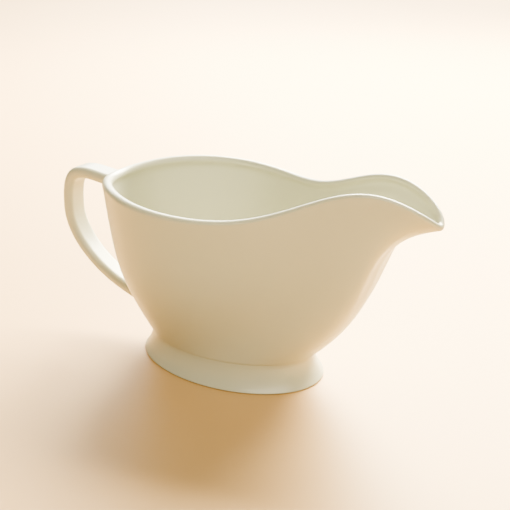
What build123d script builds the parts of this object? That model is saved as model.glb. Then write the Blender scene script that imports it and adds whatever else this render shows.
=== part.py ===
"""Glazed porcelain gravy boat: a bowl with a spout and a rolled lip, a hollow oval foot and a
strap handle, with the layers of slip that join them. Millimetres, +X toward the spout, +Z up,
origin on the table under the middle of the foot. The boat is the same on both sides of Y = 0."""

from build123d import *
from math import cos, exp, radians, sin
import os

os.makedirs("parts", exist_ok=True)

# ---- driving dimensions (mm, degrees) ----
FOOT_LENGTH = 108.4            # foot ring at the table
FOOT_WIDTH = 71.2
FOOT_HEIGHT = 13.8             # table to the crease under the bowl
FOOT_WALL = 4.6
FOOT_EDGE = 0.9                # rounding of the standing edge
FOOT_CURVE = 2.1               # power of the hollow curve from the neck out to the base
FOOT_SECTIONS = (0.0, 0.16, 0.33, 0.52, 0.75, 1.0)
NECK_LENGTH = 96.8             # waist where bowl and foot meet
NECK_WIDTH = 63.2
FLOOR_LENGTH = 62.0            # flat of the inside floor
FLOOR_WIDTH = 38.0
FLOOR_Z = 19.0
SLIP = 0.4                     # layer of slip in each luted joint

# Lip centre line: waves of the angle that runs from the spout tip (0) to the handle (180).
LIP_X = (22.3, 89.0, -1.6, 3.6, 0.2)
LIP_Y = (0.0, 39.9, -12.6, 1.0, 2.1, -0.3)
LIP_Z = (99.3, 7.2, 1.2, -3.0, -4.2, -1.0, -0.1, 0.3)
LIP_RADIUS = (2.05, -0.65)     # half the thickness of the rolled lip, thinner at the spout
TIP_BEND = (-0.5, -1.4, 0.4)   # forward, upward and extra radius of the lip at the very tip
TIP_SPREAD = 10.0
WALL = (3.3, -0.5)

# Outer wall: a cubic curve from the neck to the lip at each angle, given by the slope and the
# reach at its two ends. The spout terms fade away from the tip.
NECK_SLOPE = (54.0, -11.1, -1.8)
NECK_REACH = (0.54, 0.05)
LIP_SLOPE = (82.9, -0.8)
LIP_REACH = (0.47, -0.04)
SPOUT_SLOPE = -65.3
SPOUT_REACH = -0.01
SPOUT_SPREAD = 28.4
INNER_STATIONS = (0.94, 0.86, 0.76, 0.64, 0.52, 0.41, 0.31, 0.22)
FLOOR_REACH = 0.45             # share of the corner's span that each end of its curve reaches
HALF_TURN = (0, 2, 4.5, 7.5, 11, 15, 20, *range(27, 170, 8), 174, 178, 180)

# Strap handle: two cubic curves in the XZ plane, meeting at the back of the grip.
STRAP_WIDTH = (14.5, 12.0)     # at the top and at the bottom
STRAP_THICKNESS = 6.5
STRAP_CORNER = 0.42            # corner radius as a share of the thickness
ROOT_TOP = (-72.0, 88.6)       # both roots end inside the wall of the bowl
ROOT_LOW = (-50.4, 21.6)
GRIP = (-108.5, 67.5)
TOP_LEAVES = (5.0, 25.4)       # angle above level, and reach
LOW_LEAVES = (10.2, 38.0)
GRIP_REACH = (29.3, 17.6)      # reach upward and downward
TOP_FLARE = (6.0, 2.6, 6.5)    # extra width, extra thickness, and how far they carry
LOW_FLARE = (4.0, 2.0, 7.0)
STRAP_SECTIONS = 9             # in each curve

UP = Vector(0, 0, 1)


def waves(terms, angle):
    """Cosine series of the angle."""
    return sum(term * cos(k * angle) for k, term in enumerate(terms))


def tip_share(angle):
    return exp(-((angle / radians(TIP_SPREAD)) ** 2))


def lip_point(angle):
    bend = tip_share(angle)
    y = sum(term * sin(k * angle) for k, term in enumerate(LIP_Y))
    return Vector(waves(LIP_X, angle) + TIP_BEND[0] * bend, y, waves(LIP_Z, angle) + TIP_BEND[1] * bend)


def lip_radius(angle):
    return waves(LIP_RADIUS, angle) + TIP_BEND[2] * tip_share(angle)


def meridian(angle):
    """Control points of the outer wall at one angle, then the lip centre, the direction from it
    to the top of the wall, and the direction over the lip."""
    lip = lip_point(angle)
    neck = Vector(NECK_LENGTH / 2 * cos(angle), NECK_WIDTH / 2 * sin(angle), FOOT_HEIGHT)
    rise = lip - neck
    out = Vector(rise.X, rise.Y, 0).normalized()
    spout = exp(-((angle / radians(SPOUT_SPREAD)) ** 2))
    low = radians(waves(NECK_SLOPE, angle))
    high = radians(waves(LIP_SLOPE, angle) + SPOUT_SLOPE * spout)
    lean = out * cos(high) + UP * sin(high)
    along = (lip_point(angle + 1e-4) - lip_point(angle - 1e-4)).normalized()
    face = along.cross(lean).normalized()
    top = lip + face * lip_radius(angle)
    first = neck + (out * cos(low) + UP * sin(low)) * (waves(NECK_REACH, angle) * rise.length)
    reach = (waves(LIP_REACH, angle) + SPOUT_REACH * spout) * rise.length
    return (neck, first, top - lean * reach, top), lip, face, face.cross(along)


def wall_point(angle, t):
    """Point of the outer wall, from the neck (t = 0) to the lip (t = 1)."""
    a, b, c, d = meridian(angle)[0]
    s = 1 - t
    return a * s**3 + b * (3 * s * s * t) + c * (3 * s * t * t) + d * t**3


def inner_point(angle, t):
    """Point of the inner wall behind the same point of the outer wall."""
    around = wall_point(angle + 1e-3, t) - wall_point(angle - 1e-3, t)
    rising = wall_point(angle, t + 1e-3) - wall_point(angle, t - 1e-3)
    return wall_point(angle, t) - around.cross(rising).normalized() * waves(WALL, angle)


def section(angle):
    """Open wire across the wall: up the outside, over the lip, down to the inside floor."""
    curve, lip, face, up = meridian(angle)
    turns = [radians(a) for a in range(0, 211, 30)]
    radius = lip_radius(angle)
    over = [lip + (face * cos(a) + up * sin(a)) * radius for a in turns]
    into = up * cos(turns[-1]) - face * sin(turns[-1])
    inner = [inner_point(angle, t) for t in INNER_STATIONS]
    down = (inner_point(angle, INNER_STATIONS[-1] - 0.01) - inner[-1]).normalized()
    floor = Vector(FLOOR_LENGTH / 2 * cos(angle), FLOOR_WIDTH / 2 * sin(angle), FLOOR_Z)
    reach = (floor - inner[-1]).length * FLOOR_REACH
    level = Vector(floor.X, floor.Y, 0).normalized()
    outside = Bezier(*curve)
    roll = Spline(*over, tangents=(up, into))
    inside = Spline(over[-1], *inner, tangents=(into, down))
    corner = Bezier(inner[-1], inner[-1] + down * reach, floor + level * reach, floor)
    return Wire([outside, roll, inside, corner])


def closed_bowl():
    """Wall lofted once round from the handle, closed by the flat underside and the flat floor."""
    turns = [-a for a in reversed(HALF_TURN[1:])] + list(HALF_TURN)
    faces = Shell.make_loft([section(radians(a)) for a in turns]).faces()
    edges = faces.edges()
    for z in (FOOT_HEIGHT, FLOOR_Z):
        level = [e for e in edges if e.bounding_box().size.Z < 1e-3 and abs(e.center().Z - z) < 1e-3]
        faces.append(Face(Wire(level)))
    return Solid(Shell(faces))


def foot_outline(spread, inset):
    """Half length and half width of the foot: spread runs from 0 at the neck to 1 at the base."""
    length = NECK_LENGTH + (FOOT_LENGTH - NECK_LENGTH) * spread
    width = NECK_WIDTH + (FOOT_WIDTH - NECK_WIDTH) * spread
    return length / 2 - inset, width / 2 - inset


def strap_stations():
    """Centre, direction and distance from the top root, at each section of the strap."""
    top, low, grip = [Vector(x, 0, z) for x, z in (ROOT_TOP, ROOT_LOW, GRIP)]
    leaves = []
    for root, (angle, reach) in ((top, TOP_LEAVES), (low, LOW_LEAVES)):
        leaves.append(root + Vector(-cos(radians(angle)), 0, sin(radians(angle))) * reach)
    upper = Bezier(top, leaves[0], grip + UP * GRIP_REACH[0], grip)
    lower = Bezier(grip, grip - UP * GRIP_REACH[1], leaves[1], low)
    stations = []
    for curve, start, first in ((upper, 0, 0), (lower, upper.length, 1)):
        for k in range(first, STRAP_SECTIONS):
            u = k / (STRAP_SECTIONS - 1)
            stations.append((curve.position_at(u), curve.tangent_at(u), start + u * curve.length))
    return stations


def flare(root, distance):
    """Extra width and thickness of the strap at a distance from a root."""
    width, thickness, carry = root
    fade = exp(-((distance / carry) ** 2))
    return width * fade, thickness * fade


# ---- bowl: body, floor, rolled lip and spout, cast in one ----
with BuildPart() as bowl:
    add(closed_bowl())

# ---- foot: hollow oval ring that flares to the table ----
with BuildPart() as foot:
    for inset, mode in ((0, Mode.ADD), (FOOT_WALL, Mode.SUBTRACT)):
        for share in FOOT_SECTIONS:
            with BuildSketch(Plane.XY.offset((FOOT_HEIGHT - SLIP) * share)):
                Ellipse(*foot_outline((1 - share) ** FOOT_CURVE, inset))
        loft(mode=mode)
    fillet(foot.edges().group_by(Axis.Z)[0], FOOT_EDGE)

# ---- slip between foot and bowl ----
with BuildPart() as foot_slip_seam:
    with BuildSketch(Plane.XY.offset(FOOT_HEIGHT - SLIP)):
        Ellipse(*foot_outline(0, 0))
        Ellipse(*foot_outline(0, FOOT_WALL), mode=Mode.SUBTRACT)
    extrude(amount=SLIP)

# ---- handle: strap with flared roots, cut to the bowl less the slip ----
stations = strap_stations()
strap_length = stations[-1][2]
against_wall = {0: Vector(-0.993, 0, -0.118), len(stations) - 1: Vector(0.89, 0, 0.456)}
with BuildPart(mode=Mode.PRIVATE) as strap:
    for k, (point, along, distance) in enumerate(stations):
        top_flare = flare(TOP_FLARE, distance)
        low_flare = flare(LOW_FLARE, strap_length - distance)
        taper = (STRAP_WIDTH[1] - STRAP_WIDTH[0]) * distance / strap_length
        width = STRAP_WIDTH[0] + taper + top_flare[0] + low_flare[0]
        thickness = STRAP_THICKNESS + top_flare[1] + low_flare[1]
        facing = against_wall.get(k, along)
        with BuildSketch(Plane(point, x_dir=(0, 1, 0), z_dir=facing)):
            RectangleRounded(width, thickness, thickness * STRAP_CORNER)
    loft()

slipped = bowl.part.moved(Location((-SLIP, 0, 0)))
with BuildPart() as handle:
    add(strap.part)
    add(bowl.part, mode=Mode.SUBTRACT)
    add(slipped, mode=Mode.SUBTRACT)

# ---- slip between each root and the wall ----
layers = ((strap.part & slipped) - bowl.part).solids().sort_by(Axis.Z)
with BuildPart() as lower_handle_slip_seam:
    add(layers[0])

with BuildPart() as upper_handle_slip_seam:
    add(layers[-1])

pieces = {
    "bowl": bowl,
    "foot": foot,
    "handle": handle,
    "foot_slip_seam": foot_slip_seam,
    "upper_handle_slip_seam": upper_handle_slip_seam,
    "lower_handle_slip_seam": lower_handle_slip_seam,
}
for name, piece in pieces.items():
    piece.part.label = name
    export_step(piece.part, f"parts/{name}.step")
    print(name, len(piece.part.solids()), piece.part.is_valid, round(piece.part.volume), "mm3")
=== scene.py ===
"""Looks of the glazed porcelain gravy boat. Shapes are worked out in millimetres, in the frame of the
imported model: +X toward the spout, +Z up, origin on the table under the middle of the foot."""

from math import cos, pi, radians, sin

import bpy
import numpy as np
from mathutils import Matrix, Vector
from mathutils.bvhtree import BVHTree


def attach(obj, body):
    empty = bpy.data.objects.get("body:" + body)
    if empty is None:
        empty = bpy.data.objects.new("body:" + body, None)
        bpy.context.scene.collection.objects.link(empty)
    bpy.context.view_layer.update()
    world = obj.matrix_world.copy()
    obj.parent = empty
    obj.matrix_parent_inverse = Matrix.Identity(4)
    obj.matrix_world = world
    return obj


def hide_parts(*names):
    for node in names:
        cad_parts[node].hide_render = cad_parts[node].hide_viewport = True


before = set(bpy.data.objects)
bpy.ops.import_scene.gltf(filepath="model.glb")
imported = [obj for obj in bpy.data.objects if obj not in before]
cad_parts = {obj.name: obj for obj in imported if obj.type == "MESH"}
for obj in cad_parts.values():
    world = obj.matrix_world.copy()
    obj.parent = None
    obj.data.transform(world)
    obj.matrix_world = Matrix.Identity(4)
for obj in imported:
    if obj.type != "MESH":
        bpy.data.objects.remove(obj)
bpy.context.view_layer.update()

MM = 0.001
AROUND = 320                   # points in each ring round the bowl and the foot
LANDING_DEPTH = 0.02           # how far a fillet's last ring is sunk in the wall that it lands on
FILLET_PULL = 0.6              # how far toward the corner the middle of a fillet is drawn
UP = np.array((0.0, 0.0, 1.0))

# ---- bowl (mm, degrees; waves of the angle that runs from the spout tip, 0, to the handle, 180) ----
FOOT_HEIGHT = 13.8             # table to the crease under the bowl
NECK_LENGTH = 96.8             # waist where bowl and foot meet
NECK_WIDTH = 63.2
FLOOR_LENGTH = 62.0            # flat of the inside floor
FLOOR_WIDTH = 38.0
FLOOR_Z = 19.0
UNDERSIDE_RISE = 1.2           # how far the underside arches up in the middle
LIP_X = (22.3, 89.0, -1.6, 3.6, 0.2)   # centre line of the rolled lip
LIP_Y = (0.0, 39.9, -12.6, 1.0, 2.1, -0.3)
LIP_Z = (99.3, 7.2, 1.2, -3.0, -4.2, -1.0, -0.1, 0.3)
LIP_RADIUS = (2.05, -0.65)     # half the thickness of the rolled lip, thinner at the spout
TIP_BEND = (-0.5, -1.4, 0.4)   # forward, upward and extra radius of the lip at the very tip
TIP_SPREAD = 10.0              # degrees over which that bend fades
WALL = (3.3, -0.5)             # wall thickness
NECK_SLOPE = (54.0, -11.1, -1.8)       # slope and reach of the outer wall at its two ends
NECK_REACH = (0.54, 0.05)
LIP_SLOPE = (82.9, -0.8)
LIP_REACH = (0.47, -0.04)
SPOUT_SLOPE = -65.3
SPOUT_REACH = -0.01
SPOUT_SPREAD = 28.4            # degrees over which the spout's own slope and reach fade
LIP_TURN = 210                 # how far the roll goes round before it curves back to the wall
COVE_T = 0.93                  # where that curve meets the inner wall
COVE_PULL = 0.4                # how strongly the curve under the roll holds its two directions
LOWEST_T = 0.22                # where the inner wall starts to turn into the floor
FLOOR_PULL = 0.45              # the same for the turn into the floor
MIDDLE = 0.06                  # size of the innermost ring of the floor and of the underside
WALL_RINGS = 60
GROOVE = (0.15, 4.2, 2.0)      # soft groove under the roll: depth, how far down, half its width

# ---- foot ----
FOOT_LENGTH = 108.4            # at the table, before the standing edge is rounded
FOOT_WIDTH = 71.2
FOOT_WALL = 4.6
FOOT_TOP = 13.4                # where the flare starts
FOOT_CURVE = 2.1               # power of the flare
FOOT_EDGE = (1.0, 2.6)         # rounding under the standing edge: height and width
CREASE = (1.6, 0.012)          # fillet onto the bowl: down the foot in mm, and up the wall as t
FOOT_TUCK = (0.8, 0.3)         # the skin goes on inside the bowl: in from its wall, and up

# ---- handle ----
STRAP_WIDTH = (14.5, 12.0)     # at the top and at the bottom
STRAP_THICKNESS = 6.5
ROOT_TOP = (-72.0, 88.6)       # both roots end inside the wall of the bowl
ROOT_LOW = (-50.4, 21.6)
ROOT_OVERRUN = 0.06            # how far each curve starts before its root, as a share of the curve
GRIP = (-108.5, 67.5)          # back of the grip, where the two curves of the strap meet
TOP_LEAVES = (5.0, 25.4)       # angle above level, and reach
LOW_LEAVES = (10.2, 38.0)
GRIP_REACH = (29.3, 17.6)      # reach upward and downward
TOP_FLARE = (6.0, 2.6, 6.5)    # extra width, extra thickness, and how far they carry
LOW_FLARE = (4.0, 2.0, 7.0)
STRAP_CORNER = 0.47            # corner radius as a share of the thickness
TOP_FILLET = (4.5, 3.5, 2.6)   # radius at the two edges, on the gap side and on the outer side
LOW_FILLET = (4.0, 3.5, 3.0)
ROOT_TUCK = (0.9, 0.3)         # the skin ends inside the wall: in from its face, and back
FIBRES = 96                    # points round the strap
FILLET_POINTS = 14
STRAP_RINGS = 150
OUTSIDE = range(12, 110)       # rings of the bowl that the handle can meet


def waves(terms, angle):
    """Cosine series of the angle."""
    return sum(term * np.cos(k * angle) for k, term in enumerate(terms))


def unit(v):
    return v / np.linalg.norm(v, axis=-1, keepdims=True)


def bezier(a, b, c, d, t):
    s = 1 - t
    return a * s**3 + b * (3 * s * s * t) + c * (3 * s * t * t) + d * t**3


def blend(a, b, c, d, count):
    """Rings along the curve from ring a, which is left out, to ring d."""
    return [bezier(a, b, c, d, t) for t in np.linspace(0, 1, count)[1:]]


def tip_share(angle):
    """1 at the spout tip, fading to 0 a little way round the lip."""
    return np.exp(-((angle / radians(TIP_SPREAD)) ** 2))


def lip_line(angle):
    bend = tip_share(angle)
    y = sum(term * np.sin(k * angle) for k, term in enumerate(LIP_Y))
    x, z = waves(LIP_X, angle) + TIP_BEND[0] * bend, waves(LIP_Z, angle) + TIP_BEND[1] * bend
    return np.stack([x, y, z], axis=-1)


def lip_radius(angle):
    return (waves(LIP_RADIUS, angle) + TIP_BEND[2] * tip_share(angle))[:, None]


def oval(length, width, z, angle):
    return np.stack([length / 2 * np.cos(angle), width / 2 * np.sin(angle), z + 0 * angle], axis=-1)


def meridian(angle):
    """Control points of the outer wall, then the lip centre and the two directions of its roll."""
    lip = lip_line(angle)
    neck = oval(NECK_LENGTH, NECK_WIDTH, FOOT_HEIGHT, angle)
    rise = lip - neck
    span = np.linalg.norm(rise, axis=-1)[:, None]
    out = unit(rise * (1, 1, 0))
    spout = np.exp(-((angle / radians(SPOUT_SPREAD)) ** 2))
    low = np.radians(waves(NECK_SLOPE, angle))[:, None]
    high = np.radians(waves(LIP_SLOPE, angle) + SPOUT_SLOPE * spout)[:, None]
    lean = out * np.cos(high) + UP * np.sin(high)
    along = unit(lip_line(angle + 1e-4) - lip_line(angle - 1e-4))
    face = unit(np.cross(along, lean))
    top = lip + face * lip_radius(angle)
    first = neck + (out * np.cos(low) + UP * np.sin(low)) * (waves(NECK_REACH, angle)[:, None] * span)
    reach = (waves(LIP_REACH, angle) + SPOUT_REACH * spout)[:, None] * span
    return neck, first, top - lean * reach, top, lip, face, np.cross(face, along)


def plain_wall(angle, t):
    return bezier(*meridian(angle)[:4], t)


def wall_normal(angle, t):
    around = plain_wall(angle + 1e-3, t) - plain_wall(angle - 1e-3, t)
    rising = plain_wall(angle, t + 1e-3) - plain_wall(angle, t - 1e-3)
    return unit(np.cross(around, rising))


def outer_wall(angle, t):
    """Outside of the wall. The groove under the roll fades away toward the spout."""
    depth, centre, spread = GROOVE
    wall = plain_wall(angle, t)
    below = np.linalg.norm(meridian(angle)[3] - wall, axis=-1)
    dent = depth * (0.5 - 0.5 * np.cos(angle)) ** 2 * np.exp(-(((below - centre) / spread) ** 2))
    return wall - wall_normal(angle, min(t, 0.999)) * dent[:, None]


def inner_wall(angle, t):
    return plain_wall(angle, t) - wall_normal(angle, t) * waves(WALL, angle)[:, None]


def bowl_rings():
    """Rings of the whole skin: underside, outer wall, lip, cove under it, inner wall and floor."""
    angle = np.linspace(-pi, pi, AROUND, endpoint=False)
    rings = []
    for share in np.linspace(MIDDLE, 0.96, 12):
        rise = UNDERSIDE_RISE * (1 - share**2)
        rings.append(oval(NECK_LENGTH * share, NECK_WIDTH * share, FOOT_HEIGHT + rise, angle))
    rings += [outer_wall(angle, t) for t in np.linspace(0, 1, WALL_RINGS)]
    lip, face, up = meridian(angle)[4:]
    radius = lip_radius(angle)
    for turn in np.radians(np.linspace(0, LIP_TURN, 22)[1:]):
        rings.append(lip + (face * cos(turn) + up * sin(turn)) * radius)
    start = rings[-1]
    into = up * cos(radians(LIP_TURN)) - face * sin(radians(LIP_TURN))
    end = inner_wall(angle, COVE_T)
    down = unit(inner_wall(angle, COVE_T - 0.01) - end)
    reach = np.linalg.norm(end - start, axis=-1)[:, None] * COVE_PULL
    rings += blend(start, start + into * reach, end - down * reach, end, 9)
    rings += [inner_wall(angle, t) for t in np.linspace(COVE_T, LOWEST_T, 50)[1:]]
    start = rings[-1]
    down = unit(inner_wall(angle, LOWEST_T - 0.01) - start)
    floor = oval(FLOOR_LENGTH, FLOOR_WIDTH, FLOOR_Z, angle)
    reach = np.linalg.norm(floor - start, axis=-1)[:, None] * FLOOR_PULL
    out = unit(floor * (1, 1, 0))
    rings += blend(start, start + down * reach, floor + out * reach, floor, 15)
    for share in np.linspace(0.94, MIDDLE, 12):
        rings.append(oval(FLOOR_LENGTH * share, FLOOR_WIDTH * share, FLOOR_Z, angle))
    return rings


def strip(low, high, around):
    """Faces between two rings of points."""
    for i in range(around):
        j = (i + 1) % around
        yield low * around + i, low * around + j, high * around + j, high * around + i


def skin(name, rings, loop=False, sharp=()):
    """Smooth closed mesh through rings of points in millimetres. The ends close on a middle point;
    a loop joins its last ring to its first. The rings numbered in sharp keep an edge."""
    around = len(rings[0])
    points = np.concatenate(rings)
    faces = []
    pairs = [(k, k + 1) for k in range(len(rings) - 1)]
    if loop:
        pairs.append((len(rings) - 1, 0))
    for low, high in pairs:
        faces += strip(low, high, around)
    if not loop:
        middles = [rings[0].mean(axis=0), rings[-1].mean(axis=0)]
        first, last = len(points), len(points) + 1
        points = np.concatenate([points, middles])
        top = (len(rings) - 1) * around
        for i in range(around):
            j = (i + 1) % around
            faces.append((first, j, i))
            faces.append((last, top + i, top + j))
    mesh = bpy.data.meshes.new(name)
    mesh.from_pydata((points * MM).tolist(), [], faces)
    mesh.polygons.foreach_set("use_smooth", [True] * len(mesh.polygons))
    for edge in mesh.edges:
        rows = {v // around for v in edge.vertices}
        if len(rows) == 1 and rows <= set(sharp):
            edge.use_edge_sharp = True
    mesh.update()
    piece = bpy.data.objects.new(name, mesh)
    bpy.context.scene.collection.objects.link(piece)
    return piece


bowl = skin("bowl_skin", bowl_rings())


# ---- foot: outer wall, fillet onto the bowl, then down the inside to the standing edge ----
def foot_ring(z, inset, angle):
    spread = max(1 - z / FOOT_TOP, 0) ** FOOT_CURVE
    length = NECK_LENGTH + (FOOT_LENGTH - NECK_LENGTH) * spread
    width = NECK_WIDTH + (FOOT_WIDTH - NECK_WIDTH) * spread
    return oval(length - 2 * inset, width - 2 * inset, z, angle)


def foot_rings():
    angle = np.linspace(-pi, pi, AROUND, endpoint=False)
    drop, land_t = CREASE
    high, wide = FOOT_EDGE
    rings = []
    for turn in np.radians(np.linspace(90, 0, 9)):
        rings.append(foot_ring(high * (1 - sin(turn)), wide * (1 - cos(turn)), angle))
    rings += [foot_ring(z, 0.0, angle) for z in np.linspace(high, FOOT_HEIGHT - drop, 30)[1:]]
    start, corner, landing = rings[-1], plain_wall(angle, 0.0), plain_wall(angle, land_t)
    normal = wall_normal(angle, land_t)
    first = start + (corner - start) * FILLET_PULL
    last = landing + (corner - landing) * FILLET_PULL
    rings += blend(start, first, last, landing - normal * LANDING_DEPTH, 9)
    landed = len(rings) - 1
    rings.append(landing - normal * FOOT_TUCK[0])
    rings += [foot_ring(z, FOOT_WALL, angle) for z in np.linspace(FOOT_HEIGHT + FOOT_TUCK[1], high, 24)]
    for turn in np.radians(np.linspace(0, 90, 7))[1:]:
        rings.append(foot_ring(high * (1 - sin(turn)), FOOT_WALL - high * (1 - cos(turn)), angle))
    return rings, landed


ring_list, landed = foot_rings()
foot = skin("foot_skin", ring_list, loop=True, sharp=(landed,))


# ---- handle: fibres of the strap run from wall to wall and end in fillets on the bowl ----
def strap_line(count=240):
    """Points and unit directions along the centre line, and distances from its start at the top."""
    top, low, grip = [np.array((x, 0.0, z)) for x, z in (ROOT_TOP, ROOT_LOW, GRIP)]
    leaves = []
    for root, (angle, reach) in ((top, TOP_LEAVES), (low, LOW_LEAVES)):
        leaves.append(root + np.array((-cos(radians(angle)), 0, sin(radians(angle)))) * reach)
    t = np.linspace(-ROOT_OVERRUN, 1, count)[:, None]
    upper = bezier(top, leaves[0], grip + UP * GRIP_REACH[0], grip, t)
    lower = bezier(low, leaves[1], grip - UP * GRIP_REACH[1], grip, t)
    line = np.concatenate([upper, lower[-2::-1]])
    steps = np.linalg.norm(np.diff(line, axis=0), axis=1)
    return line, unit(np.gradient(line, axis=0)), np.concatenate([[0], np.cumsum(steps)])


def flare(root, distance):
    width, thickness, carry = root
    fade = np.exp(-((distance / carry) ** 2))
    return width * fade, thickness * fade


def rounded_section(share, half_width, half_thickness):
    """Point at a share of the way round a rounded rectangle, for arrays of sizes."""
    corner = 2 * half_thickness * STRAP_CORNER
    flat_x, flat_y = half_width - corner, half_thickness - corner
    arc = pi / 2 * corner
    lengths = [2 * flat_y, arc, 2 * flat_x, arc, 2 * flat_y, arc, 2 * flat_x, arc]
    marks = np.cumsum([0 * corner] + lengths, axis=0)
    way = (share * marks[-1] + flat_y) % marks[-1]
    side, rise = 0 * corner, 0 * corner
    for k in range(8):
        here = (way >= marks[k]) & (way < marks[k + 1])
        part = way - marks[k]
        if k % 2 == 0:
            x = (half_width, flat_x - part, -half_width, -flat_x + part)[k // 2]
            y = (-flat_y + part, half_thickness, flat_y - part, -half_thickness)[k // 2]
        else:
            bend = part / corner + k // 2 * pi / 2
            x = (flat_x, -flat_x, -flat_x, flat_x)[k // 2] + corner * np.cos(bend)
            y = (flat_y, flat_y, -flat_y, -flat_y)[k // 2] + corner * np.sin(bend)
        side, rise = np.where(here, x, side), np.where(here, y, rise)
    return side, rise


def fibre(turn, line, along, distance):
    """Points of one fibre of the strap; turn is its place round the section."""
    gapward = np.cross(along, (0.0, 1.0, 0.0))
    top = flare(TOP_FLARE, distance)
    low = flare(LOW_FLARE, distance[-1] - distance)
    width = np.interp(distance, (0, distance[-1]), STRAP_WIDTH) + top[0] + low[0]
    thickness = STRAP_THICKNESS + top[1] + low[1]
    side, rise = rounded_section(turn, width / 2, thickness / 2)
    return line + np.array((0.0, 1.0, 0.0)) * side[:, None] + gapward * rise[:, None]


def hit_wall(tree, points):
    """How many steps a fibre takes to the wall, with the part of the last one, then the place and
    the normal of the wall there."""
    for k in range(len(points) - 1):
        step = Vector(points[k + 1] - points[k])
        place, normal, _, length = tree.ray_cast(Vector(points[k]), step, step.length)
        if place is not None:
            return k + length / step.length, place, normal


def handle_rings(tree):
    """Fibres of the strap and where each one enters the wall, at the top and at the bottom, then
    the points of the centre line and the distances along it."""
    line, along, distance = strap_line()
    middle = len(line) // 2
    fibres, ends = [], []
    for turn in np.linspace(0, 1, FIBRES, endpoint=False):
        points = fibre(turn, line, along, distance)
        fibres.append(points)
        ends.append([])
        for way in (-1, 1):
            run = points[middle::way]
            index, place, normal = hit_wall(tree, run)
            ends[-1].append((middle + way * index, np.array(place), np.array(normal)))
    return fibres, ends, line, distance


def fillet(tree, corner, normal, centre, start, before, radius):
    """Curve from the strap at start to the wall, landing along it about a radius from the corner.
    Before is the next point back along the strap."""
    heading = unit(start - before)
    outward = corner - centre
    outward = unit(outward - normal * np.dot(outward, normal))
    place, landed, _, _ = tree.find_nearest(Vector(corner + outward * radius))
    place, landed = np.array(place), np.array(landed)
    away = unit(outward - landed * np.dot(outward, landed))
    first = start + heading * np.linalg.norm(corner - start) * FILLET_PULL
    last = place - away * np.linalg.norm(corner - place) * FILLET_PULL
    t = np.linspace(0, 1, FILLET_POINTS)[1:, None]
    curve = bezier(start, first, last, place - landed * LANDING_DEPTH, t)
    return curve, place - landed * ROOT_TUCK[0] - away * ROOT_TUCK[1]


def fillet_radius(radii, share):
    """Radius at a share of the way round the section: edge, gap side, edge, outer side."""
    edge, gap, outer = radii
    rise = sin(2 * pi * share)
    return edge * (1 - rise**2) + (gap if rise > 0 else outer) * rise**2


def places(at, distance, points):
    """Points of a line at given distances along it."""
    return np.stack([np.interp(at, distance, points[:, k]) for k in range(3)], axis=-1)


def build_handle():
    rings = bowl_rings()
    faces = [face for k in OUTSIDE for face in strip(k, k + 1, AROUND)]
    tree = BVHTree.FromPolygons([Vector(p) for p in np.concatenate(rings)], faces)
    fibres, ends, line, distance = handle_rings(tree)
    steps = np.arange(len(line), dtype=float)
    columns = []
    for i, (points, (top, low)) in enumerate(zip(fibres, ends)):
        top_s, low_s = [np.interp(end[0], steps, distance) for end in (top, low)]
        top_r, low_r = [fillet_radius(radii, i / FIBRES) for radii in (TOP_FILLET, LOW_FILLET)]
        u = np.linspace(0, 1, STRAP_RINGS)
        body = places(top_s + top_r + (low_s - low_r - top_s - top_r) * u, distance, points)
        centre = places((top_s, low_s), distance, line)
        up, up_end = fillet(tree, *top[1:], centre[0], body[0], body[1], top_r)
        down, down_end = fillet(tree, *low[1:], centre[1], body[-1], body[-2], low_r)
        columns.append(np.concatenate([[up_end], up[::-1], body, down, [down_end]]))
    columns = np.array(columns)
    return [columns[:, k] for k in range(columns.shape[1])]


ring_list = build_handle()
handle = skin("handle_skin", ring_list, sharp=(1, len(ring_list) - 2))


# ---- glaze ----
def node(tree, kind, **values):
    made = tree.nodes.new(kind)
    for key, value in values.items():
        setattr(made, key, value)
    return made


def porcelain(name):
    """Warm white glaze, slightly cloudy in tint and faintly wavy, under a thin clear coat."""
    made = bpy.data.materials.new(name)
    made.use_nodes = True
    tree = made.node_tree
    shader = tree.nodes["Principled BSDF"]
    shader.inputs["Roughness"].default_value = 0.38
    shader.inputs["IOR"].default_value = 1.5
    shader.inputs["Coat Weight"].default_value = 0.3
    shader.inputs["Coat Roughness"].default_value = 0.18
    shader.inputs["Subsurface Weight"].default_value = 0.08
    shader.inputs["Subsurface Radius"].default_value = (1.0, 0.8, 0.6)
    shader.inputs["Subsurface Scale"].default_value = 0.002
    place = node(tree, "ShaderNodeTexCoord")
    cloud = node(tree, "ShaderNodeTexNoise")
    cloud.inputs["Scale"].default_value = 22.0
    cloud.inputs["Detail"].default_value = 2.0
    tint = node(tree, "ShaderNodeMix", data_type="RGBA")
    tint.inputs["A"].default_value = (0.54, 0.53, 0.405, 1)
    tint.inputs["B"].default_value = (0.565, 0.555, 0.43, 1)
    ripple = node(tree, "ShaderNodeTexNoise")
    ripple.inputs["Scale"].default_value = 120.0
    bump = node(tree, "ShaderNodeBump")
    bump.inputs["Strength"].default_value = 0.04
    bump.inputs["Distance"].default_value = 0.0004
    tree.links.new(place.outputs["Object"], cloud.inputs["Vector"])
    tree.links.new(place.outputs["Object"], ripple.inputs["Vector"])
    tree.links.new(cloud.outputs["Fac"], tint.inputs["Factor"])
    tree.links.new(tint.outputs["Result"], shader.inputs["Base Color"])
    tree.links.new(ripple.outputs["Fac"], bump.inputs["Height"])
    tree.links.new(bump.outputs["Normal"], shader.inputs["Normal"])
    return made


glaze = porcelain("porcelain_glaze")
for piece in (bowl, foot, handle):
    piece.data.materials.append(glaze)
    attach(piece, "root")
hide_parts("bowl")
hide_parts("foot", "foot_slip_seam")
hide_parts("handle", "upper_handle_slip_seam", "lower_handle_slip_seam")


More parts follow.
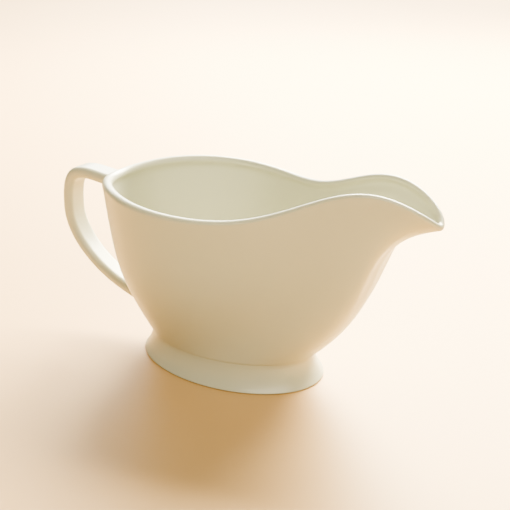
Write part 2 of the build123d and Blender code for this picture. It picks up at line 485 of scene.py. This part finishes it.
# ---- table top, lights and camera (metres) ----
TABLE = 4.0                    # half the side of the table top
TARGET = (0.0, 0.0, 0.05)      # the point on the object that the lights face
CAMERA = (0.25615, -0.38279, 0.24876)
HEADING = 32.24                # where the camera looks: degrees from +Y toward -X
TILT = 22.28                   # and degrees below level
LENS = 67.06                   # its focal length in millimetres
SENSOR = 36                    # width of its sensor in millimetres


def plain(name, colour, roughness):
    made = bpy.data.materials.new(name)
    made.use_nodes = True
    shader = made.node_tree.nodes["Principled BSDF"]
    shader.inputs["Base Color"].default_value = (*colour, 1)
    shader.inputs["Roughness"].default_value = roughness
    return made


mesh = bpy.data.meshes.new("table_top")
corners = [(TABLE * x, TABLE * y, 0) for x, y in ((-1, -1), (1, -1), (1, 1), (-1, 1))]
mesh.from_pydata(corners, [], [(0, 1, 2, 3)])
table_top = bpy.data.objects.new("table_top", mesh)
bpy.context.scene.collection.objects.link(table_top)
mesh.materials.append(plain("pale_table", (0.69, 0.46, 0.23), 0.5))


def area_light(name, place, target, size, power, colour):
    lamp = bpy.data.lights.new(name, "AREA")
    lamp.shape = "RECTANGLE"
    lamp.size, lamp.size_y = size
    lamp.energy = power
    lamp.color = colour
    made = bpy.data.objects.new(name, lamp)
    made.location = place
    made.rotation_euler = (Vector(target) - Vector(place)).to_track_quat("-Z", "Y").to_euler()
    bpy.context.scene.collection.objects.link(made)


area_light("window", (-0.10, 0.83, 0.75), TARGET, (0.95, 0.7), 54, (1.0, 0.93, 0.72))
area_light("front_fill", (0.85, -1.05, 1.15), TARGET, (1.6, 0.9), 20, (1.0, 0.94, 0.76))
area_light("far_table", (-0.75, 1.85, 0.8), (-0.75, 1.8, 0.0), (2.6, 2.2), 120, (0.9, 0.95, 1.0))

world = bpy.data.worlds.new("studio")
world.use_nodes = True
background = world.node_tree.nodes["Background"]
background.inputs["Color"].default_value = (0.98, 0.95, 0.84, 1)
background.inputs["Strength"].default_value = 0.21
bpy.context.scene.world = world

lens = bpy.data.cameras.new("camera")
lens.sensor_width = SENSOR
lens.lens = LENS
camera = bpy.data.objects.new("camera", lens)
camera.location = CAMERA
camera.rotation_euler = (radians(90 - TILT), 0, radians(HEADING))
bpy.context.scene.collection.objects.link(camera)
bpy.context.scene.camera = camera
view = bpy.context.scene.view_settings
view.view_transform = "AgX"
view.look = "AgX - High Contrast"
view.exposure = 0.1
